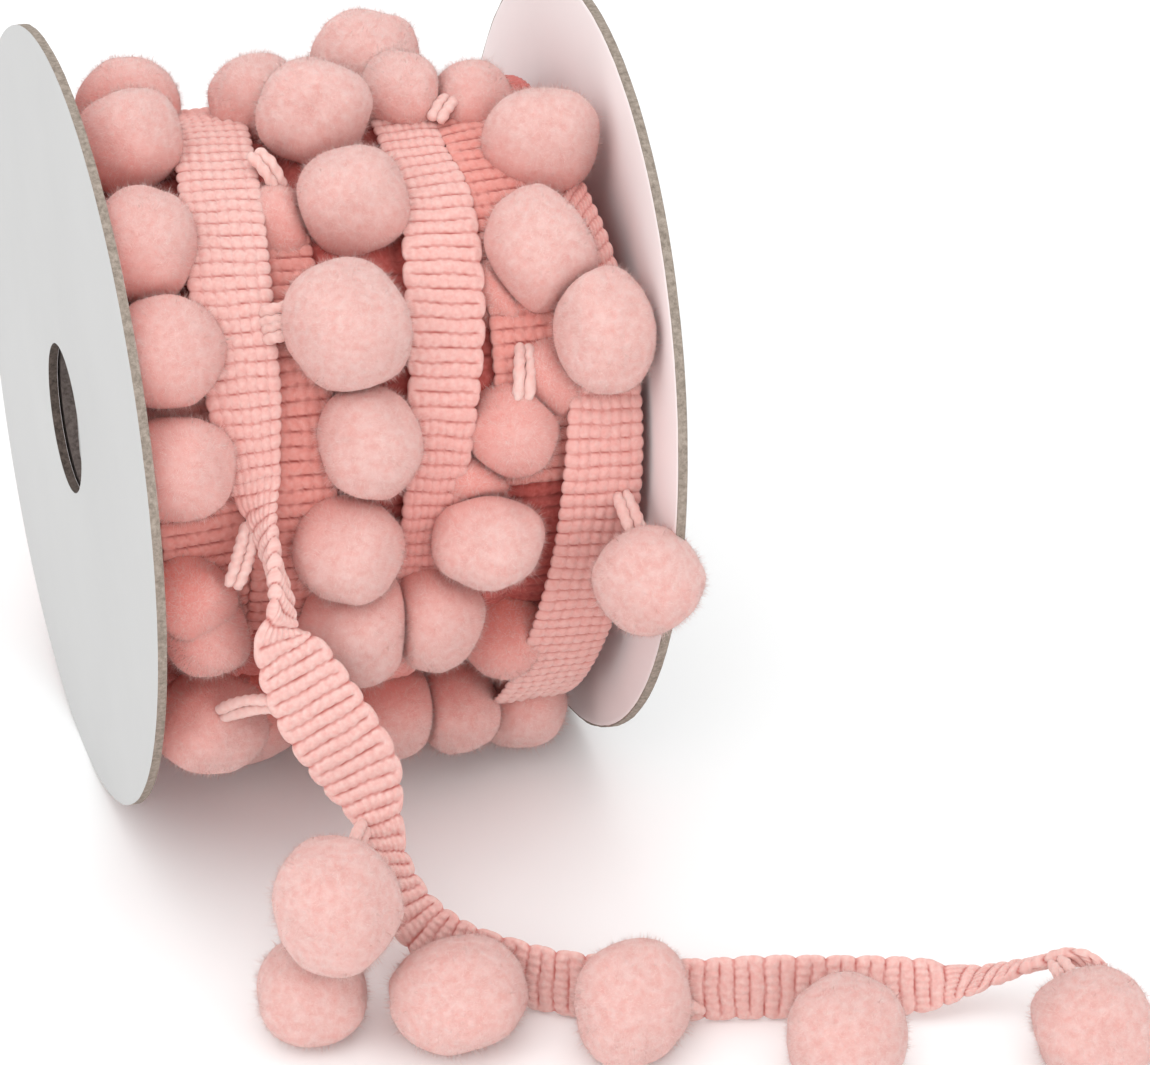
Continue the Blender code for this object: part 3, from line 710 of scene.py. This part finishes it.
def add_drum(material):
    """The inner layers of the winding: turns of tape side by side, seen in the gaps."""
    across = np.linspace(-DRUM_HALF, DRUM_HALF, 84)
    around = np.linspace(0, 360, 400, endpoint=False)
    walked = np.radians(around) * DRUM_RADIUS
    ribs = round(walked[-1] / RIB_PITCH)
    walked = walked * ribs * RIB_PITCH / (2 * math.pi * DRUM_RADIUS)
    place = (across / (DRUM_TAPE / 2) + 1.0) % 2.0 - 1.0
    even = np.full(len(walked), 1.0)
    height = weave_height(place, weave_place_along(place, walked, even), 0.7 * even)
    crown = np.sqrt(np.clip(1.0 - np.abs(place) ** 4, 0.0, 1.0))[None, :]
    wave = DRUM_WAVE * np.sin(np.radians(2 * around))[:, None] * np.cos(across / (9 * MM))[None, :]
    radius = DRUM_RADIUS + wave + 0.9 * MM * crown + 0.5 * MM * crown * height
    outer = axis_points(np.broadcast_to(around[:, None], radius.shape),
                        np.broadcast_to(across[None, :], radius.shape), radius)
    ends = [axis_points(around, end, DRUM_BORE)[:, None, :] for end in (DRUM_HALF, -DRUM_HALF)]
    verts = np.concatenate((outer, *ends), axis=1)
    count, ring = verts.shape[:2]
    here = np.arange(ring)[None, :]
    after = (here + 1) % ring
    row = np.arange(count)[:, None] * ring
    following = ((np.arange(count) + 1) % count)[:, None] * ring
    quads = np.stack((row + here, following + here, following + after, row + after), axis=-1)
    flat = np.stack((np.broadcast_to(across[None, :], radius.shape),
                     np.broadcast_to(walked[:, None], radius.shape)), axis=-1)
    flat = np.concatenate((flat, flat[:, -1:], flat[:, :1]), axis=1)
    height = np.concatenate((height, height[:, -1:], height[:, :1]), axis=1)
    piece = new_piece("inner_winding", verts.reshape(-1, 3), quads.reshape(-1, 4).tolist(),
                      [material])
    set_weave_map(piece, flat, height)
    return piece


# The balls

def sphere_points(subdivisions):
    bm = bmesh.new()
    bmesh.ops.create_icosphere(bm, subdivisions=subdivisions, radius=1.0)
    verts = np.array([vert.co[:] for vert in bm.verts])
    faces = np.array([[vert.index for vert in face.verts] for face in bm.faces])
    bm.free()
    return verts, faces


def soft_lumps(points, seed, size, count):
    """Smooth lumps over a unit ball, between about -1 and 1."""
    random = np.random.RandomState(seed)
    total = np.zeros(len(points))
    for _ in range(count):
        wave = random.normal(size=3) * size
        total += np.sin(points @ wave + random.uniform(0, 2 * math.pi))
    return total / math.sqrt(count)


def boxy(points, seed, power):
    """How far a rounded box turned at random reaches in each direction, about 1."""
    random = np.random.RandomState(seed)
    turn, _ = np.linalg.qr(random.normal(size=(3, 3)))
    reach = np.sum(np.abs(points @ turn) ** power, axis=1) ** (-1 / power)
    return reach / reach.mean()


Soft = namedtuple("Soft", "name centre radii axes seed front mate")


def press_back(verts, centre, direction, limit, soft):
    """Presses the side of a ball that lies past a plane back to it, with a soft edge."""
    reach = (verts - centre) @ direction
    over = (reach - limit) / soft
    pressed = limit - soft * np.log1p(np.exp(-np.clip(over, -9, 30)))
    change = np.where(over < -9, 0.0, pressed - reach)
    return verts + direction * change[:, None]


def merge_with(verts, centre, mate):
    """Raises a ball's surface where it meets its mate, so that the two look like one pompom."""
    from_mate = np.linalg.norm(verts - mate.centre, axis=1) - float(np.mean(mate.radii))
    near = np.clip(1.0 - np.abs(from_mate) / MERGE_REACH, 0.0, 1.0)
    return verts + unit(verts - centre) * (MERGE_REACH / 4 * near ** 2)[:, None]


def flange_plane(side, lean):
    """A point on a flange's inner face and the direction out of the winding."""
    tilt_y = math.radians(-lean[0])
    tilt_z = math.radians(lean[1])
    x = math.cos(tilt_z) * math.cos(tilt_y)
    direction = np.array((x, math.sin(tilt_z) * math.cos(tilt_y), -math.sin(tilt_y))) * side
    point = np.array((REEL_X + side * FLANGE_GAP / 2, REEL_Y, AXIS_Z))
    return point, unit(direction)


def ball_mesh(ball, others, template):
    points, _ = template
    shape = boxy(points, ball.seed + 3, 2.4) + 0.050 * soft_lumps(points, ball.seed, 2.0, 6)
    shape += 0.012 * soft_lumps(points, ball.seed + 1, 7.0, 10)
    verts = ball.centre + points * shape[:, None] * np.array(ball.radii) @ np.array(ball.axes)
    size = float(np.mean(ball.radii))
    for other in others:
        if other is ball:
            continue
        apart = other.centre - ball.centre
        distance = np.linalg.norm(apart)
        reach = float(np.mean(other.radii))
        if distance > size + reach + 1.0 * MM or distance < 0.3 * size:
            continue
        if other.name == ball.mate or ball.name == other.mate:
            verts = merge_with(verts, ball.centre, other)
            continue
        limit = (distance ** 2 + size ** 2 - reach ** 2) / (2 * distance)
        verts = press_back(verts, ball.centre, apart / distance, limit, 0.45 * MM)
    for side, lean in ((-1, LEFT_LEAN), (1, RIGHT_LEAN)):
        point, direction = flange_plane(side, lean)
        rise = ball.centre - np.array((ball.centre[0], REEL_Y, AXIS_Z))
        if np.linalg.norm(rise) < FLANGE_RADIUS - 3 * MM:
            limit = (point - ball.centre) @ direction - 0.3 * MM
            verts = press_back(verts, ball.centre, direction, limit, 0.3 * MM)
    down = np.array((0.0, 0.0, -1.0))
    return press_back(verts, ball.centre, down, ball.centre[2] - LIFT, 0.25 * MM)


def vertex_normals(verts, faces):
    a, b, c = verts[faces[:, 0]], verts[faces[:, 1]], verts[faces[:, 2]]
    face_normals = np.cross(b - a, c - a)
    total = np.zeros_like(verts)
    for corner in range(3):
        np.add.at(total, faces[:, corner], face_normals)
    return unit(total), face_normals


def fibres_on(verts, faces, count, seed):
    """Short fibres that stand out of a ball: three points each, and the ball's own normals."""
    random = np.random.RandomState(seed)
    normals, face_normals = vertex_normals(verts, faces)
    areas = np.linalg.norm(face_normals, axis=1)
    chosen = random.choice(len(faces), size=count, p=areas / areas.sum())
    share = random.dirichlet((1, 1, 1), size=count)
    roots = np.einsum("ij,ijk->ik", share, verts[faces[chosen]])
    out = unit(np.einsum("ij,ijk->ik", share, normals[faces[chosen]]))
    tuft = soft_lumps(unit(roots - verts.mean(axis=0)), seed + 5, 14.0, 9)[:, None]
    reach = FIBRE * random.uniform(0.3, 1.0, size=(count, 1)) * np.clip(0.85 + 0.4 * tuft, 0.3, 1.5)
    reach *= np.where(random.uniform(size=(count, 1)) < 0.10, 1.5, 1.0)
    way = unit(0.65 * out + unit(random.normal(size=(count, 3))))
    outward = out + 0.25 * unit(random.normal(size=(count, 3)))
    side = unit(np.cross(way, outward)) * FIBRE_HALF
    start = roots - out * 0.10 * MM
    points = np.stack((start - side, start + side, roots + way * reach), axis=1)
    points[:, :, 2] = np.maximum(points[:, :, 2], LIFT)
    return points.reshape(-1, 3), np.repeat(out, 3, axis=0)


def add_fuzz(name, shapes, material):
    """All the fibres of a group of balls as one piece that casts no shadow of its own."""
    points, normals = [], []
    for ball, verts, faces in shapes:
        count = FRONT_FIBRES if ball.front else FAR_FIBRES
        made, turned = fibres_on(verts, faces, count, ball.seed + 7)
        points.append(made)
        normals.append(turned)
    points = np.concatenate(points)
    faces = np.arange(len(points)).reshape(-1, 3).tolist()
    piece = new_piece(name, points, faces, [material], np.concatenate(normals))
    piece.visible_shadow = False
    return piece


def axes_at(angle):
    """Directions at an angle round the axis: along it, the way round, and out."""
    turn = math.radians(angle)
    out = (0.0, -math.cos(turn), math.sin(turn))
    way = (0.0, math.sin(turn), math.cos(turn))
    return ((1.0, 0.0, 0.0), way, out)


def turn_along(angle):
    table = np.array(TURN_ROWS, float)
    place = np.interp([angle], table[:, 0], np.arange(len(table)))
    return blend_table(TURN_ROWS, place)[0][1] * MM


def winding_balls():
    balls = []
    for number, row in enumerate(BALL_ROWS, 1):
        centre = axis_points(row.angle, row.along * MM, row.radius * MM)
        half = row.size * MM / 2
        mate = f"pompom_front_{MATES[number]:02d}" if number in MATES else ""
        balls.append(Soft(f"pompom_front_{number:02d}", centre, (half, half * row.stretch, half),
                          axes_at(row.angle), 11 * number, True, mate))
    number = 0
    for row, far in enumerate(FAR_ROWS):
        for place in range(far.count):
            share = place / (far.count - 1)
            angle = far.first_angle + (far.last_angle - far.first_angle) * share
            along = turn_along(angle) + far.offset * MM + FAR_SWAY * math.sin(1.7 * place + row)
            radius = FAR_RADIUS + FAR_RISE * math.sin(2.4 * place + row)
            half = (FAR_SIZE + FAR_SPREAD * math.sin(3.1 * place + 2 * row)) / 2
            stretch = 1.0 + 0.08 * math.sin(place)
            number += 1
            balls.append(Soft(f"pompom_far_{number:02d}", axis_points(angle, along, radius),
                              (half, half * stretch, half), axes_at(angle),
                              1000 + 11 * number, False, ""))
    return balls


def tail_balls():
    balls = []
    for number, row in enumerate(TAIL_ROWS):
        centre = np.array((row.x, row.y, row.z)) * MM + REEL
        half = row.size * MM / 2
        axes = ((1, 0, 0), (0, 1, 0), (0, 0, 1))
        balls.append(Soft("pompom_loose_" + row.name, centre,
                          (half, half, row.height * MM / 2), axes, 3000 + 11 * number, True, ""))
    return balls


# Loops of yarn

def yarn_tube(middles, radius, seed):
    """A soft two-ply yarn along its middles, with rounded ends."""
    count = len(middles)
    run = unit(np.gradient(middles, axis=0))
    first = unit(np.cross(run, np.array((0.31, 0.52, 0.79))))
    second = np.cross(run, first)
    corners = 14
    turn = np.linspace(0, 2 * math.pi, corners, endpoint=False)
    steps = np.linalg.norm(np.diff(middles, axis=0), axis=1)
    spin = np.concatenate(((0,), np.cumsum(steps)))[:, None] / YARN_TWIST * 2 * math.pi
    ply = 1.0 + 0.12 * np.cos(2 * (turn[None, :] - spin) + seed)
    swell = 1.0 + 0.06 * np.sin(spin * 0.37 + seed)
    ends = np.sqrt(np.clip(1 - np.abs(np.linspace(-1, 1, count)) ** 14, 0.02, 1))
    reach = radius * ply * swell * ends[:, None]
    verts = (middles[:, None, :]
             + first[:, None, :] * (reach * np.cos(turn))[:, :, None]
             + second[:, None, :] * (reach * np.sin(turn))[:, :, None]).reshape(-1, 3)
    return verts, strip_faces(count, corners)


def add_loop(name, start, end, bow, apart, material, seed):
    """Two yarns side by side from the tape's edge to a ball."""
    share = np.linspace(0, 1, 30)[:, None]
    line = start + (end - start) * share + bow * np.sin(math.pi * share)
    run = unit(end - start)
    side = unit(apart - run * (apart @ run)) * YARN_RADIUS
    spread = 0.80 + 0.22 * np.sin(math.pi * share)
    verts, faces, shift = [], [], 0
    for way in (-1, 1):
        made, quads = yarn_tube(line + way * side * spread, YARN_RADIUS, seed + way)
        verts.append(made)
        faces += [[index + shift for index in face] for face in quads]
        shift += len(made)
    return new_piece(name, np.concatenate(verts), faces, [material])


# The reel

def lean_matrix(lean):
    tilt_y = math.radians(-lean[0])
    tilt_z = math.radians(lean[1])
    about_y = np.array(((math.cos(tilt_y), 0, math.sin(tilt_y)), (0, 1, 0),
                        (-math.sin(tilt_y), 0, math.cos(tilt_y))))
    about_z = np.array(((math.cos(tilt_z), -math.sin(tilt_z), 0),
                        (math.sin(tilt_z), math.cos(tilt_z), 0), (0, 0, 1)))
    return about_z @ about_y


def turned_piece(name, outline, sides, side, lean, looks, wobble=0.0, seed=0):
    """Turns an outline of (offset from the inner face, radius) round the axis of a flange. A
    second look, if there is one, is for the faces of the hole."""
    random = np.random.RandomState(seed)
    turn = np.linspace(0, 2 * math.pi, sides, endpoint=False)
    rough = wobble * soft_lumps(np.stack((np.cos(turn), np.sin(turn), turn * 0), 1), seed, 40.0, 9)
    rough = rough + wobble * 0.5 * random.normal(size=sides)
    offsets = np.array([row[0] for row in outline]) * side
    radii = np.array([row[1] for row in outline])
    outer = (radii > FLANGE_RADIUS * 0.9)[None, :]
    reach = radii[None, :] + outer * rough[:, None]
    local = np.stack((np.broadcast_to(offsets[None, :], reach.shape),
                      reach * np.sin(turn)[:, None], -reach * np.cos(turn)[:, None]), axis=-1)
    placed = local @ lean_matrix(lean).T + np.array((side * FLANGE_GAP / 2, 0, 0))
    verts = (placed + np.array((REEL_X, REEL_Y, AXIS_Z))).reshape(-1, 3)
    verts[:, 2] = np.maximum(verts[:, 2], 0.0)
    ring = len(outline)
    a = np.arange(sides)[:, None] * ring + np.arange(ring)[None, :]
    b = np.arange(sides)[:, None] * ring + (np.arange(ring)[None, :] + 1) % ring
    step = ((np.arange(sides) + 1) % sides)[:, None] * ring - np.arange(sides)[:, None] * ring
    quads = np.stack((a, b, b + step, a + step), axis=-1).reshape(-1, 4)
    if side > 0:
        quads = quads[:, ::-1]
    item = new_piece(name, verts, quads.tolist(), looks)
    if len(looks) > 1:
        in_hole = (np.arange(len(quads)) % ring == ring - 1).astype(np.int32)
        item.data.polygons.foreach_set("material_index", in_hole)
    item.data.set_sharp_from_angle(angle=math.radians(50))
    return item


def add_flange(name, side, lean, papers, boards, seed):
    """Board with a cut edge, covered on both faces with white paper."""
    inner, outer = ARBOR_RADIUS, FLANGE_RADIUS
    full = FLANGE_THICKNESS
    board_rows = ((PAPER, inner), (PAPER, outer - 0.06 * MM), (full - PAPER, outer - 0.06 * MM),
                  (full - PAPER, inner))
    pieces = [turned_piece(name + "_board", board_rows, FLANGE_SIDES, side, lean, boards,
                           0.035 * MM, seed)]
    soft = 0.04 * MM
    for label, paper, face, under in (("inner", papers[0], 0.0, PAPER),
                                      ("outer", papers[1], full, full - PAPER)):
        rim = outer - (RIM_INSET if label == "inner" else 0.05 * MM)
        bend = (under - face) * 0.8
        rows = ((face, inner + soft), (face, rim - 0.5 * MM), (face, rim - 0.05 * MM),
                (face + bend, rim), (under, rim), (under, inner), (face + bend / 2, inner))
        if under > face:
            rows = rows[::-1]
        pieces.append(turned_piece(f"{name}_paper_{label}", rows, FLANGE_SIDES, side, lean,
                                   [paper],
                                   0.02 * MM, seed + 3))
    for piece in pieces:
        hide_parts(name)


def add_torn_lip(material):
    """The torn paper edge of the core tube, just inside the left flange's hole."""
    turn = np.linspace(0, 2 * math.pi, 180, endpoint=False)
    circle = np.stack((np.cos(turn), np.sin(turn), turn * 0), axis=1)
    ragged = 0.45 + 0.30 * soft_lumps(circle, 71, 5.0, 6) + 0.12 * soft_lumps(circle, 72, 30.0, 8)
    inner = ARBOR_RADIUS - np.clip(ragged, 0.12, 1.1) * MM
    place = -FLANGE_GAP / 2 + 0.9 * MM + 0.5 * MM * soft_lumps(circle, 73, 1.5, 3)
    rings = []
    for radius, shift in ((ARBOR_RADIUS + 0.2 * MM, 0), (inner, 0.2 * MM), (inner, 0.32 * MM),
                          (ARBOR_RADIUS + 0.2 * MM, 0.14 * MM)):
        rings.append(np.stack((REEL_X + place + shift, REEL_Y - radius * np.cos(turn),
                               AXIS_Z + radius * np.sin(turn)), axis=1))
    verts = np.stack(rings, axis=1)
    count, ring = verts.shape[:2]
    here = np.arange(ring)[None, :]
    after = (here + 1) % ring
    row = np.arange(count)[:, None] * ring
    following = ((np.arange(count) + 1) % count)[:, None] * ring
    quads = np.stack((row + here, row + after, following + after, following + here), axis=-1)
    new_piece("core_torn_lip", verts.reshape(-1, 3), quads.reshape(-1, 4).tolist(),
              [material])


def add_winding(materials, balls, everything, template):
    """The outer turns, the layers that show under them, the pompoms and their loops."""
    tape, under, deep_shade, ball_yarn, strand, fluff_painted_light = materials
    worn = [add_drum(deep_shade)]
    for name, first, last, fineness, columns in TURN_PIECES:
        course = wound_course(TURN_ROWS, first, last, RIB_PITCH / fineness, TURN_BRIDGING)
        worn.append(ribbon(name, course, tape, columns, 6, False))
    for name, rows in UNDER_TURNS.items():
        rows = sorted(rows)
        course = wound_course(rows, rows[0][0], rows[-1][0], RIB_PITCH / 6, UNDER_BRIDGING)
        worn.append(ribbon(name, course, under, 38, 6, False))
    shapes = []
    for ball in balls:
        verts = ball_mesh(ball, everything, template)
        shapes.append((ball, verts, template[1]))
        worn.append(new_piece(ball.name, verts, template[1].tolist(), [ball_yarn]))
    front = [shape for shape in shapes if shape[0].front]
    far = [shape for shape in shapes if not shape[0].front]
    for label, share in (("left", front[0::2]), ("right", front[1::2])):
        worn.append(add_fuzz("fuzz_winding_" + label, share, fluff_painted_light))
    worn.append(add_fuzz("fuzz_winding_far", far, fluff_painted_light))
    for number, row in enumerate(LOOP_ROWS, 1):
        start = axis_points(row.angle, row.along * MM, row.radius * MM)
        end = axis_points(row.end_angle, row.end_along * MM, row.end_radius * MM)
        out = unit((start + end) / 2 - np.array(((start[0] + end[0]) / 2, REEL_Y, AXIS_Z)))
        apart = np.cross(unit(end - start), out)
        worn.append(add_loop(f"loop_{number}", start, end, out * 0.8 * MM, apart, strand, number))
    for piece in worn:
        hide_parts("wound_trim")


def add_loose_end(materials, balls, everything, template):
    """The tape that comes off the front, with its own pompoms and loops."""
    tape_yarn, _, _, ball_yarn, strand, fluff_painted_light = materials
    course = loose_course(RIB_PITCH / 8)
    middles, edges, _, widths, _, walked, _ = course
    tape = ribbon("loose_tape", course, tape_yarn, 46, 34, True)
    hung, shapes = [], []
    run = unit(np.gradient(middles, axis=0))
    for ball, row in zip(balls, TAIL_ROWS):
        verts = ball_mesh(ball, everything, template)
        faces = template[1]
        shapes.append((ball, verts, faces))
        hung.append(new_piece(ball.name, verts, faces.tolist(), [ball_yarn]))
        index = int(np.argmin(np.abs(walked - row.leave * MM)))
        start = middles[index] + edges[index] * (widths[index] / 2 - 0.9 * MM)
        end = start + (ball.centre - start) * 0.7
        if row.name in LOOP_ENDS:
            end = np.array(LOOP_ENDS[row.name]) * MM + REEL
        hung.append(add_loop("loop_loose_" + row.name, start, end, np.array((0, 0, 0.6 * MM)),
                             run[index], strand, index))
    hung.append(add_fuzz("fuzz_loose", shapes, fluff_painted_light))
    for piece in (tape, *hung):
        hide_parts("loose_end")


def main():
    add_camera()
    materials = (
        # Each tape's third colour is the painted shade in its pits; tape_yarn's fourth is painted
        # shade towards the core.
        tape_material("tape_yarn", (0.73, 0.41, 0.375), (0.78, 0.53, 0.49), (0.52, 0.15, 0.13),
                      (0.70, 0.22, 0.19)),
        # Painted shade: the under turns and the inner layers have the same yarn as the outer tape, in
        # deeper and darker tones.
        tape_material("under_yarn_painted_shade", (0.68, 0.26, 0.225), (0.72, 0.34, 0.30), (0.34, 0.06, 0.05)),
        tape_material("inner_yarn_painted_shade", (0.46, 0.09, 0.075), (0.58, 0.15, 0.13), (0.24, 0.035, 0.03)),
        pompom_material(),
        plain_yarn_material("strand_yarn", (0.74, 0.44, 0.40), (0.78, 0.54, 0.50), 0.3),
        # Painted light: the loose fibres are the balls' yarn in lighter tones, for the light that
        # passes through them.
        plain_yarn_material("fluff_painted_light", (0.84, 0.57, 0.53), (0.88, 0.69, 0.65), 0.4),
    )
    # One white paper in two tones: painted shade makes the outer faces grey, and painted light makes
    # the inner faces lighter and pink from the yarn.
    outer_paper_painted_shade = paper_material("outer_paper_painted_shade", (0.53, 0.53, 0.527))
    inner_paper_painted_light = paper_material("inner_paper_painted_light", (0.90, 0.845, 0.845))
    # Painted shade: the faces of the flanges' hole and the core tube are the raw board in darker
    # tones.
    boards = [board_material("raw_board", (0.18, 0.145, 0.115), (0.38, 0.32, 0.27)),
              board_material("hole_board_painted_shade", (0.05, 0.036, 0.029), (0.17, 0.13, 0.11))]
    tube = board_material("core_board_painted_shade", (0.08, 0.062, 0.056), (0.21, 0.17, 0.155))
    add_flange("flange_left", -1, LEFT_LEAN, (inner_paper_painted_light, outer_paper_painted_shade), boards, 5)
    add_flange("flange_right", 1, RIGHT_LEAN, (inner_paper_painted_light, outer_paper_painted_shade), boards, 9)
    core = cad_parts["core_tube"]
    core.data.materials.clear()
    core.data.materials.append(tube)
    add_torn_lip(outer_paper_painted_shade)

    template = sphere_points(4)
    winding = winding_balls()
    loose = tail_balls()
    everything = winding + loose
    add_winding(materials, winding, everything, template)
    add_loose_end(materials, loose, everything, template)
    add_surroundings()


def add_surroundings():
    """A pale floor, a pale sky and soft lamps: no part of the object."""
    mesh = bpy.data.meshes.new("floor")
    reach = 4.0
    mesh.from_pydata([(-reach, -reach, 0), (reach, -reach, 0), (reach, reach, 0),
                      (-reach, reach, 0)], [], [(0, 1, 2, 3)])
    floor = bpy.data.objects.new("floor", mesh)
    bpy.context.scene.collection.objects.link(floor)
    white = base_material("floor_white", 0.9)
    shader_of(white).inputs["Base Color"].default_value = (0.96, 0.96, 0.96, 1)
    mesh.materials.append(white)
    world = bpy.data.worlds.new("sky")
    world.use_nodes = True
    background = world.node_tree.nodes["Background"]
    background.inputs["Color"].default_value = (1, 1, 1, 1)
    background.inputs["Strength"].default_value = SKY
    bpy.context.scene.world = world
    for name, place, size, power in LAMPS:
        light = bpy.data.lights.new(name, "AREA")
        light.energy = power
        light.size = size
        item = bpy.data.objects.new(name, light)
        bpy.context.scene.collection.objects.link(item)
        item.location = place
        way = np.array(AIM) - np.array(place)
        item.rotation_euler = (
            math.atan2(math.hypot(way[0], way[1]), -way[2]), 0, math.atan2(-way[0], way[1]))
    bpy.context.scene.view_settings.view_transform = "Standard"


main()
